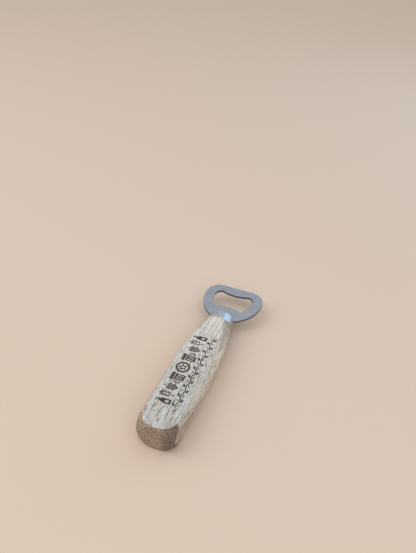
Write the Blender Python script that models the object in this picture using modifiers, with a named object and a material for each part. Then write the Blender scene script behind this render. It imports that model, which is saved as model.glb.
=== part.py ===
"""Wooden-handled bottle opener.

A stamped steel head with a long tang passes through a slotted steel ferrule and is bedded in adhesive
in a blind bore of the wooden handle. Metres, +Z up, +X from the butt to the head's tip.
The opener lies on the handle's lower flat. The origin is at the middle of its footprint, on the surface.
"""

import math

import bmesh
import bpy
from mathutils import Matrix, Vector

# Overall sizes
OVERALL_LENGTH = 0.145
FIT_GAP = 0.0003

# Handle: a turned barrel, planed flat above and below, with its sides relieved near the butt
HANDLE_LENGTH = 0.1003
FLAT_HALF_HEIGHT = 0.0095
SIDE_HALF_WIDTH = 0.0138
RELIEF_HALF_WIDTH = 0.0117
RELIEF_LENGTH = 0.0250
BARREL_RADIUS = 0.01415
BARREL_STRAIGHT_SHARE = 0.32
BARREL_TAPER_POWER = 2.7
NECK_RADIUS = 0.0102
NECK_ROUND = 0.0010
BUTT_FACE_RADIUS = 0.0077
BUTT_ROUND_LENGTH = 0.0093
BORE_RADIUS = 0.0050
BORE_DEPTH = 0.0420

# Ferrule: a thin cup on the handle's spigot
FERRULE_RADIUS = 0.0088
FERRULE_WALL = 0.0008
FERRULE_CAP = 0.0012
FERRULE_LENGTH = 0.0081
FERRULE_EDGE = 0.0004

# Head: one stamping, measured from the ferrule's outer face
PLATE_THICKNESS = 0.0020
HEAD_HALF_WIDTH = 0.0212
HEAD_WIDEST = 0.0236
NECK_HALF_WIDTH = 0.0066
TIP_CORNER_RADIUS = 0.0105
TANG_HALF_WIDTH = 0.0035
TANG_LENGTH = 0.0400
TANG_TIP_CHAMFER = 0.0015

# Cap opening: half its outline, from the tongue's root round to the middle of the tip side
TONGUE_ROOT = (0.0113, 0.0097)
OPENING_FLANK = (0.0180, 0.0130)
OPENING_WIDEST = (0.0262, 0.0145)
OPENING_CORNER = (0.0304, 0.0107)
OPENING_SWELL = (0.0294, 0.0069)
OPENING_MIDDLE = (0.0284, 0.0)
TONGUE_REACH = 0.0139
TONGUE_LIP = 0.0007

# Derived places
BUTT_X = -OVERALL_LENGTH / 2
SHOULDER_X = BUTT_X + HANDLE_LENGTH
HEAD_X = SHOULDER_X + FERRULE_LENGTH
HEAD_LENGTH = OVERALL_LENGTH - HANDLE_LENGTH - FERRULE_LENGTH
AXIS_HEIGHT = FLAT_HALF_HEIGHT
SPIGOT_RADIUS = FERRULE_RADIUS - FERRULE_WALL - FIT_GAP
SPIGOT_LENGTH = FERRULE_LENGTH - FERRULE_CAP - 2 * FIT_GAP
ADHESIVE_RADIUS = BORE_RADIUS - FIT_GAP

# Fineness of the curved outlines
TURNED_STEPS = 64
BARREL_STEPS = 14
BUTT_STEPS = 9
NECK_ROUND_STEPS = 4
FERRULE_EDGE_STEPS = 3
FLANK_STEPS = 12
TIP_CORNER_STEPS = 10
OPENING_STEPS = 5
TONGUE_STEPS = 12
SHARP_ANGLE = math.radians(30)

# Cutters and merging
CUTTER_MARGIN = 0.005
WEDGE_LENGTH = 0.006
TURNED_MERGE = 1e-5
OUTLINE_MERGE = 1e-6


def clear_scene():
    for obj in list(bpy.data.objects):
        bpy.data.objects.remove(obj, do_unlink=True)


def new_collection(name):
    collection = bpy.data.collections.new(name)
    bpy.context.scene.collection.children.link(collection)
    return collection


def new_material(name, colour, roughness, metallic):
    material = bpy.data.materials.new(name)
    material.use_nodes = True
    shader = material.node_tree.nodes["Principled BSDF"]
    shader.inputs["Base Color"].default_value = (*colour, 1.0)
    shader.inputs["Roughness"].default_value = roughness
    shader.inputs["Metallic"].default_value = metallic
    return material


def add_object(name, data, collection, material=None):
    obj = bpy.data.objects.new(name, data)
    collection.objects.link(obj)
    if material is not None:
        data.materials.append(material)
    return obj


def arc_points(centre, radius, start, end, steps):
    """Points on an arc from angle start to angle end, in radians."""
    angles = [start + (end - start) * i / steps for i in range(steps + 1)]
    return [(centre[0] + radius * math.cos(a), centre[1] + radius * math.sin(a)) for a in angles]


def turned(name, profile, collection, material):
    """A solid turned about the opener's axis. The profile holds (distance from the butt, radius) pairs,
    from the head's side to the butt's side along the outside."""
    mesh = bpy.data.meshes.new(name)
    points = [(radius, 0.0, along) for along, radius in profile]
    edges = [(i, i + 1) for i in range(len(points) - 1)]
    mesh.from_pydata(points, edges, [])
    obj = add_object(name, mesh, collection, material)
    screw = obj.modifiers.new("Turn", "SCREW")
    screw.axis = "Z"
    screw.angle = math.tau
    screw.steps = TURNED_STEPS
    screw.render_steps = TURNED_STEPS
    screw.use_merge_vertices = True
    screw.merge_threshold = TURNED_MERGE
    obj.rotation_euler = (0.0, math.pi / 2, 0.0)
    obj.location = (BUTT_X, 0.0, AXIS_HEIGHT)
    return obj


def box_cutter(name, low, high, collection):
    """A box between two corners in world space, hidden from the render."""
    mesh = bpy.data.meshes.new(name)
    shape = bmesh.new()
    bmesh.ops.create_cube(shape, size=1.0)
    size = Vector(high) - Vector(low)
    bmesh.ops.scale(shape, vec=size, verts=shape.verts)
    shape.to_mesh(mesh)
    shape.free()
    cutter = add_object(name, mesh, collection)
    cutter.location = (Vector(low) + Vector(high)) / 2
    return hidden(cutter)


def hidden(cutter):
    cutter.hide_render = True
    cutter.display_type = "WIRE"
    return cutter


def flat_solid(name, outlines, thickness, start_x, collection, material=None):
    """A flat mesh body from closed outlines, with holes inside others, centred on the opener's axis.
    The outlines' X counts from start_x."""
    curve = bpy.data.curves.new(name + "_outline", "CURVE")
    curve.dimensions = "2D"
    curve.fill_mode = "BOTH"
    curve.extrude = thickness / 2
    for points in outlines:
        add_spline(curve, points)
    outline = add_object(name + "_outline", curve, collection)
    outline.location = (start_x, 0.0, AXIS_HEIGHT)
    bpy.context.view_layer.update()
    evaluated = outline.evaluated_get(bpy.context.evaluated_depsgraph_get())
    mesh = bpy.data.meshes.new_from_object(evaluated)
    mesh.name = name
    shape = bmesh.new()
    shape.from_mesh(mesh)
    bmesh.ops.remove_doubles(shape, verts=shape.verts, dist=OUTLINE_MERGE)
    bmesh.ops.recalc_face_normals(shape, faces=shape.faces)
    shape.to_mesh(mesh)
    shape.free()
    solid = add_object(name, mesh, collection, material)
    solid.matrix_world = outline.matrix_world.copy()
    bpy.data.objects.remove(outline, do_unlink=True)
    return solid


def add_boolean(obj, cutter, operation):
    modifier = obj.modifiers.new(cutter.name, "BOOLEAN")
    modifier.operation = operation
    modifier.object = cutter


def barrel_radius(along):
    """The turned handle's radius at a distance from the butt: straight, then narrowing to the neck."""
    straight = BARREL_STRAIGHT_SHARE * HANDLE_LENGTH
    share = max(0.0, along - straight) / (HANDLE_LENGTH - straight)
    return BARREL_RADIUS - (BARREL_RADIUS - NECK_RADIUS) * share**BARREL_TAPER_POWER


def butt_profile():
    """The butt's rounded edge, a quarter ellipse from the barrel to the end face, and the face's centre."""
    points = []
    for i in range(BUTT_STEPS + 1):
        angle = math.pi / 2 * (1 - i / BUTT_STEPS)
        along = BUTT_ROUND_LENGTH * (1 - math.cos(angle))
        radius = BUTT_FACE_RADIUS + (BARREL_RADIUS - BUTT_FACE_RADIUS) * math.sin(angle)
        points.append((along, radius))
    return points + [(0.0, 0.0)]


def handle_profile():
    """Bore, spigot end, spigot, shoulder, barrel and butt, from the bore's bottom to the butt's centre."""
    spigot_end = HANDLE_LENGTH + SPIGOT_LENGTH
    bore_bottom = spigot_end - BORE_DEPTH
    points = [(bore_bottom, 0.0), (bore_bottom, BORE_RADIUS), (spigot_end, BORE_RADIUS)]
    points += [(spigot_end, SPIGOT_RADIUS), (HANDLE_LENGTH, SPIGOT_RADIUS)]
    start, end = HANDLE_LENGTH - NECK_ROUND, BARREL_STRAIGHT_SHARE * HANDLE_LENGTH
    corner = (start, barrel_radius(start) - NECK_ROUND)
    points += arc_points(corner, NECK_ROUND, 0.0, math.pi / 2, NECK_ROUND_STEPS)
    for i in range(1, BARREL_STEPS + 1):
        along = start + (end - start) * i / BARREL_STEPS
        points.append((along, barrel_radius(along)))
    return points + butt_profile()


def make_handle(collection, cutters, material):
    """The barrel, cut to the planed blank: flat above and below, and narrowed at the sides near the butt."""
    handle = turned("wooden_handle", handle_profile(), collection, material)
    widening = (SIDE_HALF_WIDTH - RELIEF_HALF_WIDTH) / RELIEF_LENGTH
    plan = [(-CUTTER_MARGIN, RELIEF_HALF_WIDTH - CUTTER_MARGIN * widening), (RELIEF_LENGTH, SIDE_HALF_WIDTH)]
    plan.append((HANDLE_LENGTH + FERRULE_LENGTH, SIDE_HALF_WIDTH))
    plan += [(x, -y) for x, y in reversed(plan)]
    blank = flat_solid("planed_blank", [plan], 2 * FLAT_HALF_HEIGHT, BUTT_X, cutters)
    add_boolean(handle, hidden(blank), "INTERSECT")
    return handle


def make_ferrule(collection, cutters, material):
    """A cup that is open towards the handle, with the tang's slot through its cap."""
    outer_face = HANDLE_LENGTH + FERRULE_LENGTH - FIT_GAP
    rim = HANDLE_LENGTH + FIT_GAP
    inner = FERRULE_RADIUS - FERRULE_WALL
    cap_inside = outer_face - FERRULE_CAP
    profile = [(outer_face, 0.0)]
    corner = (outer_face - FERRULE_EDGE, FERRULE_RADIUS - FERRULE_EDGE)
    profile += arc_points(corner, FERRULE_EDGE, 0.0, math.pi / 2, FERRULE_EDGE_STEPS)
    profile += [(rim, FERRULE_RADIUS), (rim, inner), (cap_inside, inner), (cap_inside, 0.0)]
    ferrule = turned("ferrule", profile, collection, material)
    slot = box_cutter(
        "ferrule_slot",
        (HEAD_X - FERRULE_LENGTH, -TANG_HALF_WIDTH - FIT_GAP, AXIS_HEIGHT - PLATE_THICKNESS / 2 - FIT_GAP),
        (HEAD_X + CUTTER_MARGIN, TANG_HALF_WIDTH + FIT_GAP, AXIS_HEIGHT + PLATE_THICKNESS / 2 + FIT_GAP),
        cutters,
    )
    add_boolean(ferrule, slot, "DIFFERENCE")
    return ferrule


def make_adhesive(collection, cutters, material):
    """The cured bedding that fills the bore round the tang."""
    spigot_end = HANDLE_LENGTH + SPIGOT_LENGTH
    bore_bottom = spigot_end - BORE_DEPTH
    bottom = bore_bottom + FIT_GAP
    profile = [(spigot_end, 0.0), (spigot_end, ADHESIVE_RADIUS), (bottom, ADHESIVE_RADIUS), (bottom, 0.0)]
    adhesive = turned("tang_adhesive", profile, collection, material)
    slot = box_cutter(
        "adhesive_slot",
        (HEAD_X - TANG_LENGTH - FIT_GAP, -TANG_HALF_WIDTH - FIT_GAP, AXIS_HEIGHT - PLATE_THICKNESS / 2 - FIT_GAP),
        (HEAD_X + CUTTER_MARGIN, TANG_HALF_WIDTH + FIT_GAP, AXIS_HEIGHT + PLATE_THICKNESS / 2 + FIT_GAP),
        cutters,
    )
    add_boolean(adhesive, slot, "DIFFERENCE")
    return adhesive


def flank_arc():
    """The head's side, an arc from the neck's corner that runs level at the widest point."""
    rise = HEAD_HALF_WIDTH - NECK_HALF_WIDTH
    radius = (HEAD_WIDEST**2 + rise**2) / (2 * rise)
    start = math.pi - math.acos(HEAD_WIDEST / radius)
    return arc_points((HEAD_WIDEST, HEAD_HALF_WIDTH - radius), radius, start, math.pi / 2, FLANK_STEPS)


def head_outline():
    """The stamping's outer edge, counted from the ferrule's outer face, with the tang at -X."""
    half = [(-TANG_LENGTH, TANG_HALF_WIDTH - TANG_TIP_CHAMFER), (-TANG_LENGTH + TANG_TIP_CHAMFER, TANG_HALF_WIDTH)]
    half += [(0.0, TANG_HALF_WIDTH)]
    half += flank_arc()
    corner = (HEAD_LENGTH - TIP_CORNER_RADIUS, HEAD_HALF_WIDTH - TIP_CORNER_RADIUS)
    half += arc_points(corner, TIP_CORNER_RADIUS, math.pi / 2, 0.0, TIP_CORNER_STEPS)
    return half + [(x, -y) for x, y in reversed(half)]


def smooth_through(points, steps):
    """A Catmull-Rom curve through the points, with the end points repeated."""
    padded = [points[0], *points, points[-1]]
    out = []
    for before, start, end, after in zip(padded, padded[1:], padded[2:], padded[3:]):
        for i in range(steps):
            t = i / steps
            weights = (
                (-t + 2 * t**2 - t**3) / 2,
                (2 - 5 * t**2 + 3 * t**3) / 2,
                (t + 4 * t**2 - 3 * t**3) / 2,
                (-(t**2) + t**3) / 2,
            )
            knots = (before, start, end, after)
            out.append(tuple(sum(w * k[axis] for w, k in zip(weights, knots)) for axis in (0, 1)))
    return out + [points[-1]]


def opening_outline():
    """The cap opening: a curve round its tip side, closed by the tongue's arc."""
    half = [TONGUE_ROOT, OPENING_FLANK, OPENING_WIDEST, OPENING_CORNER, OPENING_SWELL, OPENING_MIDDLE]
    lobes = smooth_through(half + [(x, -y) for x, y in reversed(half[:-1])], OPENING_STEPS)
    root_x, root_y = TONGUE_ROOT
    reach = TONGUE_REACH - root_x
    radius = (root_y**2 + reach**2) / (2 * reach)
    spread = math.asin(root_y / radius)
    tongue = arc_points((TONGUE_REACH - radius, 0.0), radius, -spread, spread, TONGUE_STEPS)
    return lobes + tongue[1:-1]


def add_spline(curve, points):
    spline = curve.splines.new("POLY")
    spline.points.add(len(points) - 1)
    for point, (x, y) in zip(spline.points, points):
        point.co = (x, y, 0.0, 1.0)
    spline.use_cyclic_u = True


def tongue_wedge(cutters):
    """The wedge below the tongue: it starts at the tongue's root and leaves a thin lip at its reach."""
    root_x, root_y = TONGUE_ROOT
    slope = math.atan2(PLATE_THICKNESS - TONGUE_LIP, TONGUE_REACH - root_x)
    wedge = box_cutter("tongue_wedge", (0.0, -root_y, -WEDGE_LENGTH / 2), (WEDGE_LENGTH, root_y, 0.0), cutters)
    hinge = Matrix.Translation((HEAD_X + root_x, 0.0, AXIS_HEIGHT - PLATE_THICKNESS / 2))
    wedge.matrix_world = hinge @ Matrix.Rotation(-slope, 4, "Y") @ Matrix.Translation(wedge.location)
    return wedge


def make_head(collection, cutters, material):
    """The flat stamping, with its tongue bevelled from below to a lip."""
    outlines = [head_outline(), opening_outline()]
    head = flat_solid("opener_head", outlines, PLATE_THICKNESS, HEAD_X, collection, material)
    add_boolean(head, tongue_wedge(cutters), "DIFFERENCE")
    return head


def shade(obj):
    obj.data.shade_smooth()
    obj.data.set_sharp_from_angle(angle=SHARP_ANGLE)


def main():
    clear_scene()
    opener = new_collection("bottle_opener")
    cutters = new_collection("cutters")
    wood = new_material("oiled_wood", (0.56, 0.46, 0.36), 0.6, 0.0)
    steel = new_material("brushed_steel", (0.52, 0.54, 0.58), 0.35, 1.0)
    bright_steel = new_material("turned_steel", (0.62, 0.64, 0.67), 0.2, 1.0)
    epoxy = new_material("cured_adhesive", (0.72, 0.62, 0.40), 0.3, 0.0)
    parts = [
        make_handle(opener, cutters, wood),
        make_ferrule(opener, cutters, bright_steel),
        make_head(opener, cutters, steel),
        make_adhesive(opener, cutters, epoxy),
    ]
    for obj in parts:
        shade(obj)


main()
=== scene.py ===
"""The looks of the wooden-handled bottle opener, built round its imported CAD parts.

Metres, +X from the handle's butt to the head's tip, +Z up from the surface that the opener lies on.
"""

import math

import bmesh
import bpy
from mathutils import Matrix, Vector


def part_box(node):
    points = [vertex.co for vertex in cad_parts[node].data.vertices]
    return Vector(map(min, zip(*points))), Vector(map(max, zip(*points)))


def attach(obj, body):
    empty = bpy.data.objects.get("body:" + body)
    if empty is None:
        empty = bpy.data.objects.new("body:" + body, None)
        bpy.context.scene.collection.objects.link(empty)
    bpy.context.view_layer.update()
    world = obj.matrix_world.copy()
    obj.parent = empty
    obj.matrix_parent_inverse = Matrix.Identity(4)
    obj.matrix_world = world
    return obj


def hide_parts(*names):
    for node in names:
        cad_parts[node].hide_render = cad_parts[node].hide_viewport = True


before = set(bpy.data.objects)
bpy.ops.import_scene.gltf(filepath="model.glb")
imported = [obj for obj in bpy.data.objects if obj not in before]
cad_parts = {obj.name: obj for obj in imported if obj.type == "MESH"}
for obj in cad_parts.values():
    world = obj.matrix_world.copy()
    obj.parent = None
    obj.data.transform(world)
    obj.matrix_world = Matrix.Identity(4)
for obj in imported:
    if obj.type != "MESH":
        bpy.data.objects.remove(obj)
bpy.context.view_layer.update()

MM = 0.001

# Places and sizes read from the frame
handle_low, handle_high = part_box("wooden_handle")
ferrule_low, ferrule_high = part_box("ferrule")
head_low, head_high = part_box("opener_head")
BUTT_X = handle_low[0]
SPIGOT_END_X = handle_high[0]
SIDE_HALF_WIDTH = handle_high[1]
FLAT_HALF_HEIGHT = (handle_high[2] - handle_low[2]) / 2
AXIS_HEIGHT = (handle_high[2] + handle_low[2]) / 2
TOP_FLAT_Z = handle_high[2]
FERRULE_RADIUS = ferrule_high[1]
FERRULE_RIM_X = ferrule_low[0]
FERRULE_FACE_X = ferrule_high[0]
PLATE_THICKNESS = head_high[2] - head_low[2]
HEAD_HALF_WIDTH = head_high[1]

# The same driving dimensions as the CAD solids
FIT_GAP = 0.3 * MM
SHOULDER_X = FERRULE_RIM_X - FIT_GAP
HEAD_X = FERRULE_FACE_X + FIT_GAP
HANDLE_LENGTH = SHOULDER_X - BUTT_X
HEAD_LENGTH = head_high[0] - HEAD_X
TANG_LENGTH = HEAD_X - head_low[0]
RELIEF_HALF_WIDTH = 11.7 * MM
RELIEF_LENGTH = 25.0 * MM
BARREL_RADIUS = 14.15 * MM
BARREL_STRAIGHT_SHARE = 0.32
BARREL_TAPER_POWER = 2.7
NECK_RADIUS = 10.2 * MM
NECK_ROUND = 1.0 * MM
BUTT_FACE_RADIUS = 7.7 * MM
BUTT_ROUND_LENGTH = 9.3 * MM
BORE_RADIUS = 5.0 * MM
BORE_DEPTH = 42.0 * MM
FERRULE_WALL = 0.8 * MM
FERRULE_CAP = 1.2 * MM
FERRULE_EDGE = 0.4 * MM
SPIGOT_RADIUS = FERRULE_RADIUS - FERRULE_WALL - FIT_GAP
HEAD_WIDEST = 23.6 * MM
NECK_HALF_WIDTH = 6.6 * MM
TIP_CORNER_RADIUS = 10.5 * MM
TANG_HALF_WIDTH = 3.5 * MM
TANG_TIP_CHAMFER = 1.5 * MM
TONGUE_ROOT = (11.3 * MM, 9.7 * MM)
OPENING_FLANK = (18.0 * MM, 13.0 * MM)
OPENING_WIDEST = (26.2 * MM, 14.5 * MM)
OPENING_CORNER = (30.4 * MM, 10.7 * MM)
OPENING_SWELL = (29.4 * MM, 6.9 * MM)
OPENING_MIDDLE = (28.4 * MM, 0.0)
TONGUE_REACH = 13.9 * MM
TONGUE_LIP = 0.7 * MM

# Edges: a sharper edge has a higher power in the rounding of its section
BUTT_EDGE_SHARPNESS = 130
BODY_EDGE_SHARPNESS = 34
EDGE_SOFTENS_FROM = 0.4
WORN_EDGE_HIGHLIGHT_WIDTH = 0.5 * MM
STAMPED_EDGE = 0.14 * MM
RIM_CHAMFER = 0.12 * MM

# How finely the round shapes are divided
BUTT_STEPS = 34
BODY_STEPS = 46
NECK_STEPS = 6
FLANK_STEPS = 30
TIP_CORNER_STEPS = 24
OPENING_STEPS = 12
TONGUE_STEPS = 30
FERRULE_EDGE_STEPS = 6
FERRULE_STEPS = 160
OUTLINE_MERGE = 0.001 * MM
TURNED_MERGE = 0.01 * MM

# Where the engraving lies
ENGRAVING_DEPTH = 0.3 * MM
MAIN_BAND_Y = 3.2 * MM
MAIN_BAND_X = BUTT_X + 47.5 * MM
PICTURE_REACH = 4.6 * MM
STEM_WIDTHS = (0.6 * MM, 0.5 * MM)
VINE_Y = -5.0 * MM
VINE_START_X = BUTT_X + 17.0 * MM
VINE_END_X = BUTT_X + 79.0 * MM

# Light and camera
SKY_COLOUR = (0.87, 0.935, 1.0)
HORIZON_GLOW = 0.62
ZENITH_GLOW = 0.75
ZENITH_FOCUS = 4.0
LIGHT_TARGET = Vector((0.0, 0.0, 0.01))
FLOOR_HALF_WIDTH = 3.0
CAMERA_PLACE = (-0.2441, -0.0866, 0.2649)
CAMERA_AIM = (0.7559, 0.2664, -0.5980)
CAMERA_ROLL = math.radians(3.4)
CAMERA_LENS = 36.2
CAMERA_SENSOR = 36.0

scene = bpy.context.scene


# ---------------------------------------------------------------- shapes


def link(name, data):
    obj = bpy.data.objects.new(name, data)
    scene.collection.objects.link(obj)
    return obj


def mesh_from(name, points, faces):
    mesh = bpy.data.meshes.new(name)
    mesh.from_pydata(points, [], faces)
    mesh.validate()
    return mesh


def apply_modifiers(obj):
    """The object keeps its name and gets the mesh that its modifiers make."""
    bpy.context.view_layer.update()
    evaluated = obj.evaluated_get(bpy.context.evaluated_depsgraph_get())
    mesh = bpy.data.meshes.new_from_object(evaluated)
    obj.modifiers.clear()
    obj.data = mesh
    return obj


def cut(obj, cutter, material_mode="INDEX"):
    modifier = obj.modifiers.new("Cut", "BOOLEAN")
    modifier.operation = "DIFFERENCE"
    modifier.object = cutter
    modifier.material_mode = material_mode
    apply_modifiers(obj)
    bpy.data.objects.remove(cutter, do_unlink=True)


def soften(obj, sharp_above):
    """Smooth shading, with edges left sharp where they turn by more than so many degrees."""
    obj.data.shade_smooth()
    obj.data.set_sharp_from_angle(angle=math.radians(sharp_above))


def arc_points(centre, radius, start, end, steps):
    angles = [start + (end - start) * i / steps for i in range(steps + 1)]
    return [(centre[0] + radius * math.cos(a), centre[1] + radius * math.sin(a)) for a in angles]


def filled_outline(name, loops, thickness, edge=0.0):
    """A flat solid from closed outlines, with its rims rounded by edge. A loop inside another is a hole."""
    curve = bpy.data.curves.new(name, "CURVE")
    curve.dimensions = "2D"
    curve.fill_mode = "BOTH"
    curve.extrude = thickness / 2 - edge
    curve.bevel_depth = edge
    curve.bevel_resolution = 2
    curve.offset = -edge
    for loop in loops:
        spline = curve.splines.new("POLY")
        spline.points.add(len(loop) - 1)
        for point, (x, y) in zip(spline.points, loop):
            point.co = (x, y, 0.0, 1.0)
        spline.use_cyclic_u = True
    outline = link(name, curve)
    bpy.context.view_layer.update()
    evaluated = outline.evaluated_get(bpy.context.evaluated_depsgraph_get())
    mesh = bpy.data.meshes.new_from_object(evaluated)
    shape = bmesh.new()
    shape.from_mesh(mesh)
    bmesh.ops.remove_doubles(shape, verts=shape.verts, dist=OUTLINE_MERGE)
    bmesh.ops.recalc_face_normals(shape, faces=shape.faces)
    shape.to_mesh(mesh)
    shape.free()
    bpy.data.objects.remove(outline, do_unlink=True)
    return link(name, mesh)


def box(name, low, high):
    shape = bmesh.new()
    bmesh.ops.create_cube(shape, size=1.0)
    bmesh.ops.scale(shape, vec=Vector(high) - Vector(low), verts=shape.verts)
    mesh = bpy.data.meshes.new(name)
    shape.to_mesh(mesh)
    shape.free()
    obj = link(name, mesh)
    obj.location = (Vector(low) + Vector(high)) / 2
    return obj


# ---------------------------------------------------------------- handle


def barrel_radius(along):
    straight = BARREL_STRAIGHT_SHARE * HANDLE_LENGTH
    share = max(0.0, along - straight) / (HANDLE_LENGTH - straight)
    return BARREL_RADIUS - (BARREL_RADIUS - NECK_RADIUS) * share**BARREL_TAPER_POWER


def side_half_width(along):
    """Half the width between the side flats, which draw in towards the butt."""
    share = min(1.0, along / RELIEF_LENGTH)
    return RELIEF_HALF_WIDTH + (SIDE_HALF_WIDTH - RELIEF_HALF_WIDTH) * share


def quadrant_angles(radius, half_width):
    """Angles from the side to the top, gathered where a planed flat meets the turned barrel."""
    least_side, most_side, least_gap, most_top, edge = (math.radians(a) for a in (6, 40, 8, 83, 1.6))
    side = math.acos(min(1.0, half_width / radius))
    top = math.asin(min(1.0, FLAT_HALF_HEIGHT / radius))
    side = min(max(side, least_side), most_side)
    top = min(max(top, side + least_gap), most_top)
    # Each stop says how many steps lead on to the next
    stops = [(0.0, 5), (side - edge, 4), (side + edge, 7), (top - edge, 4), (top + edge, 10)]
    ends = [stop for stop, _ in stops[1:]] + [math.pi / 2]
    angles = []
    for (start, steps), end in zip(stops, ends):
        angles += [start + (end - start) * i / steps for i in range(steps)]
    return angles


def ring_angles(radius, half_width):
    """The same gathering of angles all the way round."""
    quarter = quadrant_angles(radius, half_width)
    mirrored_quarter = [math.pi - angle for angle in reversed(quarter[1:])]
    upper = quarter + [math.pi / 2] + mirrored_quarter
    return upper + [math.pi + angle for angle in upper]


def planed_ring(along, radius):
    """One section: the turned circle cut by four flats.

    Its edges are sanded round, most of all along the body, and the last value says how worn each point is,
    which the wood also uses for a painted highlight along the edges.
    """
    half_width = side_half_width(along)
    softened = min(1.0, max(0.0, along / RELIEF_LENGTH - EDGE_SOFTENS_FROM))
    power = BUTT_EDGE_SHARPNESS + (BODY_EDGE_SHARPNESS - BUTT_EDGE_SHARPNESS) * softened
    ring = []
    for angle in ring_angles(radius, half_width):
        cosine, sine = abs(math.cos(angle)), abs(math.sin(angle))
        pulls = [1.0, cosine * radius / half_width, sine * radius / FLAT_HALF_HEIGHT]
        reach = radius * sum(pull**power for pull in pulls) ** (-1 / power)
        strongest, second = sorted(pulls, reverse=True)[:2]
        gap = radius / second - radius / strongest
        # How worn the edge is here; the wood paints this band paler, partly for wear and partly as a painted
        # highlight
        wear_and_highlight = max(0.0, 1 - gap / WORN_EDGE_HIGHLIGHT_WIDTH) * (1 - softened)
        ring.append((along, reach * math.cos(angle), reach * math.sin(angle), wear_and_highlight))
    return ring


def turned_ring(along, radius):
    """One plain round section, with as many points as a planed one."""
    angles = ring_angles(BARREL_RADIUS, SIDE_HALF_WIDTH)
    return [(along, radius * math.cos(angle), radius * math.sin(angle), 0.0) for angle in angles]


def handle_rings():
    """Sections from the butt along the outside, over the spigot and back down the bore."""
    butt_face_shares = (0.15, 0.3, 0.45, 0.6, 0.75, 0.88)
    rings = [turned_ring(0.0, BUTT_FACE_RADIUS * share) for share in butt_face_shares]
    for i in range(BUTT_STEPS + 1):
        angle = math.pi / 2 * i / BUTT_STEPS
        along = BUTT_ROUND_LENGTH * (1 - math.cos(angle))
        radius = BUTT_FACE_RADIUS + (BARREL_RADIUS - BUTT_FACE_RADIUS) * math.sin(angle)
        rings.append(planed_ring(along, radius))
    # The body's sections stand a little clear of both rounded ends
    past_butt, before_neck = 1.12, 1.3
    start, end = BUTT_ROUND_LENGTH * past_butt, HANDLE_LENGTH - NECK_ROUND * before_neck
    for i in range(BODY_STEPS + 1):
        along = start + (end - start) * i / BODY_STEPS
        rings.append(planed_ring(along, barrel_radius(along)))
    corner = HANDLE_LENGTH - NECK_ROUND
    for i in range(NECK_STEPS + 1):
        angle = math.pi / 2 * i / NECK_STEPS
        radius = barrel_radius(corner) - NECK_ROUND * (1 - math.cos(angle))
        rings.append(planed_ring(corner + NECK_ROUND * math.sin(angle), radius))
    spigot_end = SPIGOT_END_X - BUTT_X
    bore_bottom = spigot_end - BORE_DEPTH
    rings.append(turned_ring(HANDLE_LENGTH, (SPIGOT_RADIUS + NECK_RADIUS) / 2))
    rings.append(turned_ring(HANDLE_LENGTH, SPIGOT_RADIUS))
    rings.append(turned_ring(spigot_end, SPIGOT_RADIUS))
    rings.append(turned_ring(spigot_end, BORE_RADIUS))
    rings.append(turned_ring(bore_bottom, BORE_RADIUS))
    return rings


def loft(name, rings, attribute):
    """A closed solid through rings of equal count, capped by a fan at both ends.

    The rings' last values go into the attribute.
    """
    count = len(rings[0])
    points, values, faces = [], [], []
    for ring in rings:
        for x, y, z, value in ring:
            points.append((BUTT_X + x, y, AXIS_HEIGHT + z))
            values.append(value)
    for i in range(len(rings) - 1):
        for j in range(count):
            a, b = i * count + j, i * count + (j + 1) % count
            faces.append((a, a + count, b + count, b))
    first, last = len(points), len(points) + 1
    for ring in (rings[0], rings[-1]):
        points.append((BUTT_X + ring[0][0], 0.0, AXIS_HEIGHT))
        values.append(0.0)
    end = (len(rings) - 1) * count
    for j in range(count):
        k = (j + 1) % count
        faces.append((first, j, k))
        faces.append((last, end + k, end + j))
    mesh = mesh_from(name, points, faces)
    shape = bmesh.new()
    shape.from_mesh(mesh)
    bmesh.ops.recalc_face_normals(shape, faces=shape.faces)
    shape.to_mesh(mesh)
    shape.free()
    layer = mesh.attributes.new(attribute, "FLOAT", "POINT")
    layer.data.foreach_set("value", values)
    return link(name, mesh)


# ---------------------------------------------------------------- engraved ornament


def moved(points, x, y, turn=0.0, flip=1.0):
    """Turned about the origin, mirrored left to right where flip is -1, and then shifted."""
    cosine, sine = math.cos(turn), math.sin(turn)
    return [(x + flip * (px * cosine - py * sine), y + px * sine + py * cosine) for px, py in points]


def kernel(length, width, steps=7):
    """A grain of barley or a leaf: pointed at both ends, fullest nearer its base."""
    lean, fullness = 0.8, 0.85
    upper = []
    for i in range(steps + 1):
        share = i / steps
        bulge = math.sin(math.pi * share**lean) ** fullness
        upper.append((length * share, width / 2 * bulge))
    lower = [(x, -y) for x, y in reversed(upper[1:-1])]
    return upper + lower


def strip(points, width_start, width_end):
    """A ribbon along a line of points that narrows evenly."""
    left, right = [], []
    for i, (x, y) in enumerate(points):
        x0, y0 = points[max(i - 1, 0)]
        x1, y1 = points[min(i + 1, len(points) - 1)]
        length = math.hypot(x1 - x0, y1 - y0)
        half = (width_start + (width_end - width_start) * i / (len(points) - 1)) / 2
        nx, ny = -(y1 - y0) / length * half, (x1 - x0) / length * half
        left.append((x + nx, y + ny))
        right.append((x - nx, y - ny))
    return left + right[::-1]


def disc(radius, steps=20):
    return arc_points((0.0, 0.0), radius, 0.0, math.tau * (steps - 1) / steps, steps - 1)


def placed(loops, x, y, flip=1.0):
    return [moved(loop, x, y, 0.0, flip) for loop in loops]


def mirrored(half):
    """A closed outline from its right half, listed from the bottom up."""
    return half + [(-x, y) for x, y in reversed(half)]


def bottle():
    """A bottle with a blank label and a cap apart from its neck."""
    half = [(1.75 * MM, -PICTURE_REACH), (1.75 * MM, 0.1 * MM), (1.6 * MM, 0.9 * MM)]
    half += [(0.85 * MM, 1.9 * MM), (0.7 * MM, 2.6 * MM), (0.7 * MM, 3.4 * MM)]
    label = [(0.8 * MM, -3.3 * MM), (0.8 * MM, -1.1 * MM)]
    cap = [(0.9 * MM, 3.75 * MM), (0.8 * MM, PICTURE_REACH)]
    return [mirrored(half), mirrored(label), mirrored(cap)]


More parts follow.
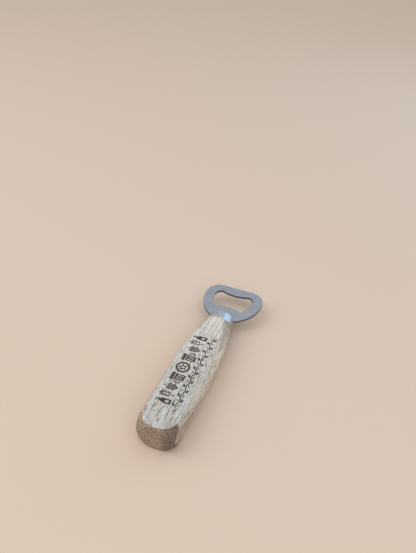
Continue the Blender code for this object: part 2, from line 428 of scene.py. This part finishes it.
def barley():
    """An upright ear: a stem, three pairs of grains and one at the tip."""
    first_pair, tip, spacing, apart = -1.9 * MM, 2.6 * MM, 1.95 * MM, 0.34 * MM
    spread, grain = math.radians(38), kernel(2.8 * MM, 1.05 * MM)
    stem = [(0.0, -PICTURE_REACH), (0.0, -3.2 * MM), (0.0, first_pair)]
    loops = [strip(stem, *STEM_WIDTHS)]
    for i in range(3):
        for side in (1, -1):
            turn = math.pi / 2 - side * spread
            loops.append(moved(grain, side * apart, first_pair + spacing * i, turn))
    loops.append(moved(grain, 0.0, tip, math.pi / 2))
    return loops


def hop_cone():
    """Rows of hanging scales under a short stem."""
    scale = kernel(2.1 * MM, 1.1 * MM)
    top, row_height, spacing = 3.1, 1.12, 1.9
    loops = []
    for row, count in enumerate((2, 3, 2, 3, 2, 1)):
        for i in range(count):
            x = (i - (count - 1) / 2) * spacing * MM
            loops.append(moved(scale, x, (top - row_height * row) * MM, -math.pi / 2))
    stem = [(0.0, 3.3 * MM), (0.1 * MM, 3.9 * MM), (0.4 * MM, PICTURE_REACH)]
    loops.append(strip(stem, *STEM_WIDTHS))
    return loops


def mug():
    """A mug with three flutes, a head of foam and a handle on its right."""
    loops = [mirrored([(2.45 * MM, -PICTURE_REACH), (2.6 * MM, 1.5 * MM)])]
    flute, flute_spacing = [(0.27 * MM, -3.6 * MM), (0.27 * MM, 0.5 * MM)], 1.5 * MM
    for i in (-1, 0, 1):
        loops.append(moved(mirrored(flute), i * flute_spacing, 0.0))
    bumps, steps, half_width = 3, 24, 2.95 * MM
    foam_base, foam_edge, bump_height, roundness = 1.95 * MM, 3.1 * MM, 1.4 * MM, 0.7
    foam = [(-half_width, foam_base)]
    for i in range(steps + 1):
        x = half_width * (2 * i / steps - 1)
        bump = abs(math.sin(math.pi * bumps * i / steps)) ** roundness
        foam.append((x, foam_edge + bump_height * bump))
    foam.append((half_width, foam_base))
    loops.append(foam)
    grip_angle, grip_width = math.radians(78), 0.8 * MM
    grip = arc_points((2.75 * MM, -1.4 * MM), 1.75 * MM, -grip_angle, grip_angle, 12)
    loops.append(strip(grip, grip_width, grip_width))
    return loops


def crown_cap():
    """A bottle crown seen from above: a fluted rim, a ring and a rosette."""
    flutes, radius, flute_depth = 21, 4.45, 0.28
    steps = flutes * 6
    rim = []
    for i in range(steps):
        angle = math.tau * i / steps
        reach = (radius + flute_depth * math.cos(flutes * angle)) * MM
        rim.append((reach * math.cos(angle), reach * math.sin(angle)))
    loops = [rim, disc(3.2 * MM, 40)]
    petals, petal, hub = 5, kernel(2.2 * MM, 1.3 * MM), 0.55 * MM
    for i in range(petals):
        turn = math.pi / 2 + math.tau * i / petals
        loops.append(moved(petal, hub * math.cos(turn), hub * math.sin(turn), turn))
    return loops


def picture_band():
    """A row of pictures about a brewer's trade, the same on both sides of a crown cap."""
    loops = placed(crown_cap(), MAIN_BAND_X, MAIN_BAND_Y)
    row = ((mug(), 8.6 * MM), (hop_cone(), 16.9 * MM), (barley(), 22.8 * MM), (bottle(), 28.0 * MM))
    for picture, away in row:
        for flip in (1, -1):
            loops += placed(picture, MAIN_BAND_X + flip * away, MAIN_BAND_Y, flip)
    return loops


def vine():
    """A running stem with a leaf on one side of every crest and a berry on the other."""
    crests = 16
    wave_length = 2 * (VINE_END_X - VINE_START_X) / crests
    height, stem_width = 0.45 * MM, 0.62 * MM
    leaf, leaf_lead, leaf_gap, leaf_angle = kernel(2.9 * MM, 1.4 * MM), 1.3 * MM, 1.2 * MM, math.radians(24)
    berry, berry_gap = disc(0.5 * MM, 14), 0.98 * MM
    steps = crests * 6
    line = []
    for i in range(steps + 1):
        x = VINE_START_X + (VINE_END_X - VINE_START_X) * i / steps
        line.append((x, VINE_Y + height * math.sin(math.tau * (x - VINE_START_X) / wave_length)))
    loops = [strip(line, stem_width, stem_width)]
    for i in range(crests):
        side = 1 if i % 2 == 0 else -1
        crest = VINE_START_X + wave_length * (0.25 + 0.5 * i)
        loops.append(moved(leaf, crest - leaf_lead, VINE_Y + side * leaf_gap, side * leaf_angle))
        loops.append(moved(berry, crest, VINE_Y - side * berry_gap))
    return loops


def engrave(handle, material):
    """Cuts the ornament into the upper flat, and gives the cut faces the material."""
    loops = picture_band() + vine()
    height = 2 * MM
    ornament = filled_outline("ornament", loops, height)
    ornament.location = (0.0, 0.0, TOP_FLAT_Z - ENGRAVING_DEPTH + height / 2)
    ornament.data.materials.clear()
    ornament.data.materials.append(material)
    cut(handle, ornament, "TRANSFER")


# ---------------------------------------------------------------- head and ferrule


def flank_arc():
    """The head's flank, from its neck to where it is widest."""
    rise = HEAD_HALF_WIDTH - NECK_HALF_WIDTH
    radius = (HEAD_WIDEST**2 + rise**2) / (2 * rise)
    start = math.pi - math.acos(HEAD_WIDEST / radius)
    centre = (HEAD_WIDEST, HEAD_HALF_WIDTH - radius)
    return arc_points(centre, radius, start, math.pi / 2, FLANK_STEPS)


def head_outline():
    """The stamping's outline with its tang, measured from the ferrule's face."""
    half = [(-TANG_LENGTH, TANG_HALF_WIDTH - TANG_TIP_CHAMFER)]
    half += [(-TANG_LENGTH + TANG_TIP_CHAMFER, TANG_HALF_WIDTH), (0.0, TANG_HALF_WIDTH)]
    half += flank_arc()
    corner = (HEAD_LENGTH - TIP_CORNER_RADIUS, HEAD_HALF_WIDTH - TIP_CORNER_RADIUS)
    half += arc_points(corner, TIP_CORNER_RADIUS, math.pi / 2, 0.0, TIP_CORNER_STEPS)
    return half + [(x, -y) for x, y in reversed(half)]


def smooth_through(points, steps):
    """A Catmull-Rom curve through the points, with the end points repeated."""
    padded = [points[0], *points, points[-1]]
    out = []
    for before, start, end, after in zip(padded, padded[1:], padded[2:], padded[3:]):
        for i in range(steps):
            t = i / steps
            weights = (
                (-t + 2 * t**2 - t**3) / 2,
                (2 - 5 * t**2 + 3 * t**3) / 2,
                (t + 4 * t**2 - 3 * t**3) / 2,
                (-(t**2) + t**3) / 2,
            )
            knots = (before, start, end, after)
            out.append(tuple(sum(w * k[axis] for w, k in zip(weights, knots)) for axis in (0, 1)))
    return out + [points[-1]]


def opening_outline():
    """Two lobes with a swell between them at the tip, closed by the tongue's arc."""
    half = [TONGUE_ROOT, OPENING_FLANK, OPENING_WIDEST, OPENING_CORNER, OPENING_SWELL, OPENING_MIDDLE]
    lobes = smooth_through(half + [(x, -y) for x, y in reversed(half[:-1])], OPENING_STEPS)
    root_x, root_y = TONGUE_ROOT
    reach = TONGUE_REACH - root_x
    radius = (root_y**2 + reach**2) / (2 * reach)
    spread = math.asin(root_y / radius)
    tongue = arc_points((TONGUE_REACH - radius, 0.0), radius, -spread, spread, TONGUE_STEPS)
    return lobes + tongue[1:-1]


def make_head():
    """The stamped plate, with its tongue bevelled from below."""
    outlines = [head_outline(), opening_outline()]
    head = filled_outline("stamped_head", outlines, PLATE_THICKNESS, STAMPED_EDGE)
    head.location = (HEAD_X, 0.0, AXIS_HEIGHT)
    bpy.context.view_layer.update()
    head.data.transform(head.matrix_world)
    head.location = (0.0, 0.0, 0.0)
    root_x, root_y = TONGUE_ROOT
    slope = math.atan2(PLATE_THICKNESS - TONGUE_LIP, TONGUE_REACH - root_x)
    wedge_length = 6 * MM
    wedge = box("tongue_wedge", (0.0, -root_y, -wedge_length / 2), (wedge_length, root_y, 0.0))
    hinge = Matrix.Translation((HEAD_X + root_x, 0.0, AXIS_HEIGHT - PLATE_THICKNESS / 2))
    wedge.matrix_world = hinge @ Matrix.Rotation(-slope, 4, "Y") @ Matrix.Translation(wedge.location)
    bpy.context.view_layer.update()
    cut(head, wedge)
    soften(head, 40)
    weights = head.modifiers.new("Flat faces", "WEIGHTED_NORMAL")
    weights.keep_sharp = True
    return apply_modifiers(head)


def make_ferrule():
    """A turned cup that is open towards the handle, with the tang's slot through its face."""
    rim = FERRULE_RIM_X
    inner = FERRULE_RADIUS - FERRULE_WALL
    cap_inside = FERRULE_FACE_X - FERRULE_CAP
    corner = (FERRULE_FACE_X - FERRULE_EDGE, FERRULE_RADIUS - FERRULE_EDGE)
    profile = [(FERRULE_FACE_X, 0.0)]
    profile += arc_points(corner, FERRULE_EDGE, 0.0, math.pi / 2, FERRULE_EDGE_STEPS)
    profile += [(rim + RIM_CHAMFER, FERRULE_RADIUS), (rim, FERRULE_RADIUS - RIM_CHAMFER), (rim, inner)]
    profile += [(cap_inside, inner), (cap_inside, 0.0)]
    mesh = bpy.data.meshes.new("turned_ferrule")
    points = [(radius, 0.0, x) for x, radius in profile]
    edges = [(i, i + 1) for i in range(len(profile) - 1)]
    mesh.from_pydata(points, edges, [])
    ferrule = link("turned_ferrule", mesh)
    screw = ferrule.modifiers.new("Turn", "SCREW")
    screw.steps = FERRULE_STEPS
    screw.render_steps = FERRULE_STEPS
    screw.use_merge_vertices = True
    screw.merge_threshold = TURNED_MERGE
    ferrule.rotation_euler = (0.0, math.pi / 2, 0.0)
    ferrule.location = (0.0, 0.0, AXIS_HEIGHT)
    apply_modifiers(ferrule)
    bpy.context.view_layer.update()
    ferrule.data.transform(ferrule.matrix_world)
    ferrule.matrix_world = Matrix.Identity(4)
    slot_rise = PLATE_THICKNESS / 2 + FIT_GAP
    slot_reach = TANG_HALF_WIDTH + FIT_GAP
    spare = 1.0 * MM
    slot = box(
        "slot",
        (cap_inside - spare, -slot_reach, AXIS_HEIGHT - slot_rise),
        (FERRULE_FACE_X + spare, slot_reach, AXIS_HEIGHT + slot_rise),
    )
    bpy.context.view_layer.update()
    cut(ferrule, slot)
    soften(ferrule, 35)
    return ferrule


# ---------------------------------------------------------------- materials


class Nodes:
    """A short way to write a node tree: every call adds a node and returns it."""

    def __init__(self, name):
        self.material = bpy.data.materials.new(name)
        self.material.use_nodes = True
        self.tree = self.material.node_tree
        self.shader = self.tree.nodes["Principled BSDF"]

    def add(self, kind, **settings):
        node = self.tree.nodes.new(kind)
        for key, value in settings.items():
            setattr(node, key, value)
        return node

    def plug(self, value, socket):
        if isinstance(value, bpy.types.NodeSocket):
            self.tree.links.new(value, socket)
        else:
            socket.default_value = value

    def math(self, operation, a, b=0.0, c=0.0):
        node = self.add("ShaderNodeMath", operation=operation)
        for value, socket in zip((a, b, c), node.inputs):
            self.plug(value, socket)
        return node.outputs[0]

    def place(self):
        """The position in millimetres, which is fixed to the object."""
        coordinates = self.add("ShaderNodeTexCoord").outputs["Object"]
        return self.stretch(coordinates, (1000.0, 1000.0, 1000.0))

    def stretch(self, vector, scale, shift=(0.0, 0.0, 0.0)):
        node = self.add("ShaderNodeMapping")
        self.plug(vector, node.inputs["Vector"])
        node.inputs["Scale"].default_value = scale
        node.inputs["Location"].default_value = shift
        return node.outputs[0]

    def turned(self, vector, angle, scale):
        node = self.add("ShaderNodeMapping")
        self.plug(vector, node.inputs["Vector"])
        node.inputs["Rotation"].default_value = (0.0, 0.0, angle)
        node.inputs["Scale"].default_value = scale
        return node.outputs[0]

    def noise(self, vector, scale, detail=2.0, roughness=0.5, distortion=0.0):
        node = self.add("ShaderNodeTexNoise")
        self.plug(vector, node.inputs["Vector"])
        node.inputs["Scale"].default_value = scale
        node.inputs["Detail"].default_value = detail
        node.inputs["Roughness"].default_value = roughness
        node.inputs["Distortion"].default_value = distortion
        return node.outputs["Fac"]

    def cells(self, vector, scale):
        node = self.add("ShaderNodeTexVoronoi")
        self.plug(vector, node.inputs["Vector"])
        node.inputs["Scale"].default_value = scale
        return node.outputs["Distance"], node.outputs["Color"]

    def ramp(self, value, low, high, out_low=0.0, out_high=1.0):
        """A smooth step from out_low to out_high as the value goes from low to high."""
        node = self.add("ShaderNodeMapRange", interpolation_type="SMOOTHSTEP")
        for given, name in (
            (value, "Value"),
            (low, "From Min"),
            (high, "From Max"),
            (out_low, "To Min"),
            (out_high, "To Max"),
        ):
            self.plug(given, node.inputs[name])
        return node.outputs["Result"]

    def mix(self, share, a, b, blend="MIX"):
        node = self.add("ShaderNodeMix", data_type="RGBA", blend_type=blend)
        self.plug(share, node.inputs["Factor"])
        self.plug(a if not isinstance(a, tuple) else (*a, 1.0), node.inputs["A"])
        self.plug(b if not isinstance(b, tuple) else (*b, 1.0), node.inputs["B"])
        return node.outputs["Result"]

    def split(self, vector):
        node = self.add("ShaderNodeSeparateXYZ")
        self.plug(vector, node.inputs[0])
        return node.outputs

    def join(self, x, y, z):
        node = self.add("ShaderNodeCombineXYZ")
        for value, socket in zip((x, y, z), node.inputs):
            self.plug(value, socket)
        return node.outputs[0]

    def bump(self, height, strength, distance):
        node = self.add("ShaderNodeBump")
        node.inputs["Strength"].default_value = strength
        node.inputs["Distance"].default_value = distance
        self.plug(height, node.inputs["Height"])
        return node.outputs[0]

    def finish(self, colour, roughness, normal, metallic=0.0, specular=0.5):
        inputs = self.shader.inputs
        self.plug(colour, inputs["Base Color"])
        self.plug(roughness, inputs["Roughness"])
        self.plug(normal, inputs["Normal"])
        inputs["Metallic"].default_value = metallic
        inputs["Specular IOR Level"].default_value = specular
        return self.material


def wood_material():
    """Pale open-pored wood.

    Its rings run round a pith beside the handle, its fibres and pores along it, and its end grain is darker.
    """
    nodes = Nodes("oiled_pale_wood")
    place = nodes.place()
    drift = nodes.noise(nodes.stretch(place, (0.014, 0.05, 0.05)), 1.0, 2.0)
    x, y, z = nodes.split(place)
    across = nodes.math("MULTIPLY_ADD", drift, 8.0, y)
    grain = nodes.join(x, across, z)

    # Growth rings, whose late wood is darker
    pith_y, pith_z, ring_spacing = 40.0, -8.0, 2.9
    dy = nodes.math("SUBTRACT", across, pith_y)
    dz = nodes.math("SUBTRACT", z, pith_z)
    squares = nodes.math("ADD", nodes.math("MULTIPLY", dy, dy), nodes.math("MULTIPLY", dz, dz))
    wobble = nodes.noise(nodes.stretch(grain, (0.03, 0.3, 0.3)), 1.0, 2.0)
    from_pith = nodes.math("MULTIPLY_ADD", wobble, 3.0, nodes.math("SQRT", squares))
    phase = nodes.math("FRACT", nodes.math("DIVIDE", from_pith, ring_spacing))
    late = nodes.math("MULTIPLY", nodes.ramp(phase, 0.25, 0.9), nodes.ramp(phase, 1.0, 0.9))

    broad = nodes.noise(nodes.stretch(grain, (0.018, 0.2, 0.2)), 1.0, 2.0)
    streak = nodes.noise(nodes.stretch(grain, (0.05, 1.1, 1.1), (4.0, 8.0, 1.0)), 1.0, 3.0, 0.6)
    fibre = nodes.noise(nodes.stretch(grain, (0.14, 2.6, 2.6)), 1.0, 4.0, 0.65)
    fine = nodes.noise(nodes.stretch(grain, (0.4, 7.0, 7.0)), 1.0, 2.0)

    # Open pores: dark dashes and dots, more of them in the late wood and at the right
    long_pores = nodes.noise(nodes.stretch(grain, (0.2, 1.9, 1.9), (9.0, 2.0, 5.0)), 1.0, 1.0)
    short_pores = nodes.noise(nodes.stretch(grain, (0.45, 3.0, 3.0)), 1.0, 1.0)
    crowd = nodes.math("MULTIPLY_ADD", late, 0.05, nodes.math("MULTIPLY", streak, 0.12))
    crowd = nodes.math("ADD", crowd, nodes.ramp(y, 1.0, -7.0, 0.0, 0.018))
    pores = nodes.ramp(nodes.math("ADD", long_pores, crowd), 0.665, 0.75)
    dots = nodes.ramp(nodes.math("ADD", short_pores, crowd), 0.70, 0.79)

    # The fibres and the long pores fade towards the neck
    colour = nodes.mix(nodes.ramp(broad, 0.3, 0.75), (0.53, 0.51, 0.465), (0.47, 0.42, 0.36))
    colour = nodes.mix(nodes.math("MULTIPLY", late, 0.35), colour, (0.37, 0.30, 0.24))
    shown = nodes.ramp(x, 30.0, -20.0, 0.55, 1.0)
    colour = nodes.mix(nodes.ramp(streak, 0.5, 0.7, 0.0, 0.6), colour, (0.36, 0.28, 0.215))
    dark_fibre = nodes.math("MULTIPLY", nodes.ramp(fibre, 0.52, 0.72, 0.0, 0.7), shown)
    colour = nodes.mix(dark_fibre, colour, (0.305, 0.23, 0.17))
    colour = nodes.mix(nodes.ramp(fibre, 0.46, 0.3, 0.0, 0.75), colour, (0.68, 0.67, 0.63))
    pores = nodes.math("MULTIPLY", pores, shown)
    colour = nodes.mix(nodes.math("MULTIPLY", pores, 0.85), colour, (0.115, 0.068, 0.042))
    colour = nodes.mix(nodes.math("MULTIPLY", dots, 0.65), colour, (0.13, 0.08, 0.052))

    # The colour is made palest at the neck, and the turned sides get a painted warm bounce light that the
    # flats don't: browner near the butt, brighter towards the neck
    colour = nodes.mix(nodes.ramp(x, -50.0, 25.0), colour, (1.22, 1.21, 1.19), "MULTIPLY")
    normal = nodes.split(nodes.add("ShaderNodeTexCoord").outputs["Normal"])
    upright = nodes.math("ABSOLUTE", normal[2])
    painted_side_bounce = nodes.mix(nodes.ramp(x, -55.0, -30.0), (1.04, 0.91, 0.80), (1.22, 1.11, 1.01))
    colour = nodes.mix(nodes.ramp(upright, 0.85, 0.3), colour, painted_side_bounce, "MULTIPLY")

    # Sanded edges are a little paler, partly from wear and partly as a painted highlight
    edge = nodes.add("ShaderNodeAttribute", attribute_name="sanded_edge_and_highlight").outputs["Fac"]
    colour = nodes.mix(nodes.math("MULTIPLY", edge, 0.35), colour, (0.62, 0.60, 0.56))

    # End grain drinks the finish and is darker; it is also made darker towards its -Y side
    facing = nodes.math("ABSOLUTE", normal[0])
    speckle = nodes.noise(nodes.stretch(place, (0.8, 1.5, 0.7)), 1.0, 2.0, 0.6)
    end_colour = nodes.mix(nodes.ramp(speckle, 0.4, 0.6), (0.165, 0.107, 0.07), (0.47, 0.36, 0.265))
    patch = nodes.noise(place, 0.16, 2.0)
    end_colour = nodes.mix(nodes.ramp(patch, 0.42, 0.6, 0.0, 0.35), end_colour, (0.42, 0.315, 0.23))
    end_colour = nodes.mix(nodes.math("MULTIPLY", late, 0.22), end_colour, (0.15, 0.095, 0.062))
    end_colour = nodes.mix(nodes.math("MULTIPLY", dots, 0.7), end_colour, (0.07, 0.045, 0.03))
    end_colour = nodes.mix(nodes.ramp(y, -2.0, -8.0), end_colour, (0.55, 0.52, 0.50), "MULTIPLY")
    colour = nodes.mix(nodes.ramp(facing, 0.04, 0.22), colour, end_colour)

    roughness = nodes.ramp(fibre, 0.3, 0.7, 0.46, 0.62)
    relief = nodes.math("MULTIPLY_ADD", fibre, 0.5, nodes.math("MULTIPLY", fine, 0.25))
    relief = nodes.math("SUBTRACT", relief, nodes.math("MULTIPLY", pores, 0.6))
    relief = nodes.math("SUBTRACT", relief, nodes.math("MULTIPLY", dots, 0.4))
    return nodes.finish(colour, roughness, nodes.bump(relief, 0.45, 0.12 * MM), specular=0.45)


def burnt_material():
    """The floor and walls of the engraving: scorched wood, blotched along the fibres."""
    nodes = Nodes("burnt_wood")
    place = nodes.place()
    blotch = nodes.noise(nodes.stretch(place, (0.8, 2.2, 2.2)), 1.0, 4.0, 0.65)
    streak = nodes.noise(nodes.stretch(place, (0.3, 6.0, 6.0)), 1.0, 3.0)
    colour = nodes.mix(nodes.ramp(blotch, 0.35, 0.7), (0.022, 0.014, 0.011), (0.075, 0.048, 0.035))
    colour = nodes.mix(nodes.ramp(streak, 0.56, 0.75, 0.0, 0.5), colour, (0.15, 0.10, 0.075))
    relief = nodes.math("ADD", blotch, streak)
    return nodes.finish(colour, nodes.ramp(blotch, 0.3, 0.7, 0.7, 0.88), nodes.bump(relief, 0.5, 0.1 * MM))


def head_material():
    """Satin steel: fine grit, a faint brushing, short scuffs, a few dark specks, and punched edges made
    darker, partly for their rough finish and partly as painted shade.
    """
    nodes = Nodes("satin_steel")
    place = nodes.place()
    grit = nodes.noise(place, 9.0, 3.0, 0.7)
    cloud = nodes.noise(place, 0.16, 3.0, 0.6)
    scuffs = None
    for turn in (0.4, 1.5, 2.55):
        along = nodes.turned(place, turn, (0.22, 5.5, 1.0))
        line = nodes.ramp(nodes.noise(along, 1.0, 1.0, 0.5, 0.4), 0.58, 0.70)
        scuffs = line if scuffs is None else nodes.math("MAXIMUM", scuffs, line)
    specks, tint = nodes.cells(place, 0.28)
    reach = nodes.ramp(nodes.split(tint)[0], 0.55, 1.0, 0.0, 0.14)
    dark = nodes.math("MULTIPLY", nodes.ramp(nodes.math("SUBTRACT", specks, reach), 0.02, -0.02), 0.45)
    colour = nodes.mix(nodes.ramp(cloud, 0.3, 0.7), (0.415, 0.42, 0.45), (0.445, 0.45, 0.48))
    brushed = nodes.turned(place, 0.75, (0.5, 2.4, 1.0))
    mottle = nodes.noise(brushed, 1.0, 2.0, 0.6)
    colour = nodes.mix(nodes.ramp(mottle, 0.4, 0.6, 0.8, 0.0), colour, (0.345, 0.34, 0.36))
    colour = nodes.mix(nodes.math("MULTIPLY", scuffs, 0.6), colour, (0.53, 0.55, 0.60))
    colour = nodes.mix(dark, colour, (0.22, 0.225, 0.245))
    upright = nodes.math("ABSOLUTE", nodes.split(nodes.add("ShaderNodeTexCoord").outputs["Normal"])[2])
    # Faces that turn away from the top, the punched edges, are darkened: partly their rough finish, partly
    # painted shade
    punched_and_shaded = nodes.ramp(upright, 0.97, 0.55)
    colour = nodes.mix(nodes.math("MULTIPLY", punched_and_shaded, 0.6), colour, (0.10, 0.105, 0.12))
    roughness = nodes.math("ADD", nodes.ramp(cloud, 0.3, 0.7, 0.32, 0.40), nodes.math("MULTIPLY", grit, 0.08))
    roughness = nodes.math("MULTIPLY_ADD", punched_and_shaded, 0.15, roughness)
    relief = nodes.math("MULTIPLY_ADD", scuffs, 0.4, nodes.math("MULTIPLY", grit, 0.6))
    return nodes.finish(colour, roughness, nodes.bump(relief, 0.25, 0.02 * MM), metallic=1.0)


def ferrule_material():
    """Bright turned steel: fine rings round it and a soft sheen."""
    nodes = Nodes("turned_steel")
    place = nodes.place()
    x, _, _ = nodes.split(place)
    rings = nodes.noise(nodes.join(nodes.math("MULTIPLY", x, 14.0), 0.0, 0.0), 1.0, 3.0, 0.7)
    wide_rings = nodes.noise(nodes.join(nodes.math("MULTIPLY", x, 2.2), 0.0, 0.0), 1.0, 2.0)
    cloud = nodes.noise(place, 0.5, 2.0)
    colour = nodes.mix(nodes.ramp(wide_rings, 0.3, 0.7), (0.50, 0.505, 0.53), (0.58, 0.585, 0.61))
    unevenness = nodes.math("MULTIPLY", cloud, 0.04)
    roughness = nodes.math("ADD", nodes.ramp(rings, 0.3, 0.7, 0.22, 0.34), unevenness)
    return nodes.finish(colour, roughness, nodes.bump(rings, 0.3, 0.02 * MM), metallic=1.0)


def adhesive_material():
    """Cured amber adhesive with small bubbles."""
    nodes = Nodes("cured_adhesive")
    place = nodes.place()
    bubbles, _ = nodes.cells(place, 1.6)
    cloud = nodes.noise(place, 0.5, 3.0)
    colour = nodes.mix(nodes.ramp(cloud, 0.3, 0.7), (0.62, 0.50, 0.28), (0.74, 0.64, 0.42))
    colour = nodes.mix(nodes.ramp(bubbles, 0.16, 0.08, 0.0, 0.6), colour, (0.88, 0.82, 0.66))
    return nodes.finish(colour, nodes.ramp(cloud, 0.3, 0.7, 0.2, 0.32), nodes.bump(bubbles, 0.2, 0.1 * MM))


def floor_material():
    """Matt peach paper with a faint tooth."""
    nodes = Nodes("peach_paper")
    place = nodes.place()
    tooth = nodes.noise(place, 2.5, 3.0, 0.6)
    colour = nodes.mix(nodes.ramp(tooth, 0.3, 0.7), (0.64, 0.485, 0.375), (0.655, 0.498, 0.386))
    return nodes.finish(colour, 0.85, nodes.bump(tooth, 0.1, 0.05 * MM), specular=0.2)


# ---------------------------------------------------------------- pieces


def dress(piece, node, material):
    piece.data.materials.clear()
    piece.data.materials.append(material)
    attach(piece, "root")
    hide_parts(node)


def make_handle(wood, burnt):
    handle = loft("turned_handle", handle_rings(), "sanded_edge_and_highlight")
    handle.data.materials.append(wood)
    engrave(handle, burnt)
    soften(handle, 38)
    return handle


wood = wood_material()
burnt = burnt_material()
handle = make_handle(wood, burnt)
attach(handle, "root")
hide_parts("wooden_handle")

dress(make_ferrule(), "ferrule", ferrule_material())
dress(make_head(), "opener_head", head_material())

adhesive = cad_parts["tang_adhesive"]
adhesive.material_slots[0].material = adhesive_material()


# ---------------------------------------------------------------- floor, light and camera


def make_floor():
    half = FLOOR_HALF_WIDTH
    points = [(-half, -half, 0.0), (half, -half, 0.0), (half, half, 0.0), (-half, half, 0.0)]
    floor = link("floor", mesh_from("floor", points, [(0, 1, 2, 3)]))
    floor.data.materials.append(floor_material())


def area_light(name, direction, distance, size, power, colour):
    """A soft panel that faces the opener from the given direction."""
    data = bpy.data.lights.new(name, "AREA")
    data.shape = "RECTANGLE"
    data.size, data.size_y = size
    data.energy = power
    data.color = colour
    light = link(name, data)
    away = Vector(direction).normalized()
    light.location = LIGHT_TARGET + away * distance
    light.rotation_euler = away.to_track_quat("Z", "Y").to_euler()


def make_light():
    """An even sky, brightest overhead, a soft panel at the left, one behind the butt and a cool window."""
    area_light("sky_panel", (-0.25, 0.75, 0.9), 1.2, (0.9, 0.9), 4.2, (0.93, 0.97, 1.0))
    area_light("front_panel", (-0.75, -0.5, 0.75), 1.2, (1.2, 0.9), 3.6, (1.0, 0.97, 0.93))
    area_light("window", (0.725, -0.576, 0.377), 0.8, (0.62, 0.5), 1.0, (0.30, 0.65, 1.0))
    world = bpy.data.worlds.new("studio")
    scene.world = world
    world.use_nodes = True
    tree = world.node_tree
    background = tree.nodes["Background"]
    background.inputs["Color"].default_value = (*SKY_COLOUR, 1.0)
    direction = tree.nodes.new("ShaderNodeTexCoord")
    split = tree.nodes.new("ShaderNodeSeparateXYZ")
    rise = tree.nodes.new("ShaderNodeMath")
    rise.operation = "POWER"
    rise.inputs[1].default_value = ZENITH_FOCUS
    glow = tree.nodes.new("ShaderNodeMath")
    glow.operation = "MULTIPLY_ADD"
    glow.inputs[1].default_value = ZENITH_GLOW
    glow.inputs[2].default_value = HORIZON_GLOW
    tree.links.new(direction.outputs["Generated"], split.inputs[0])
    tree.links.new(split.outputs["Z"], rise.inputs[0])
    tree.links.new(rise.outputs[0], glow.inputs[0])
    tree.links.new(glow.outputs[0], background.inputs["Strength"])


def make_camera():
    """Above and behind the butt, a little to the right of the handle, with a slight roll."""
    data = bpy.data.cameras.new("camera")
    data.sensor_width = CAMERA_SENSOR
    data.lens = CAMERA_LENS
    camera = link("camera", data)
    camera.location = CAMERA_PLACE
    level = Vector(CAMERA_AIM).to_track_quat("-Z", "Y")
    camera.rotation_euler = (level.to_matrix() @ Matrix.Rotation(CAMERA_ROLL, 3, "Z")).to_euler()
    scene.camera = camera


make_floor()
make_light()
make_camera()
scene.view_settings.view_transform = "Standard"
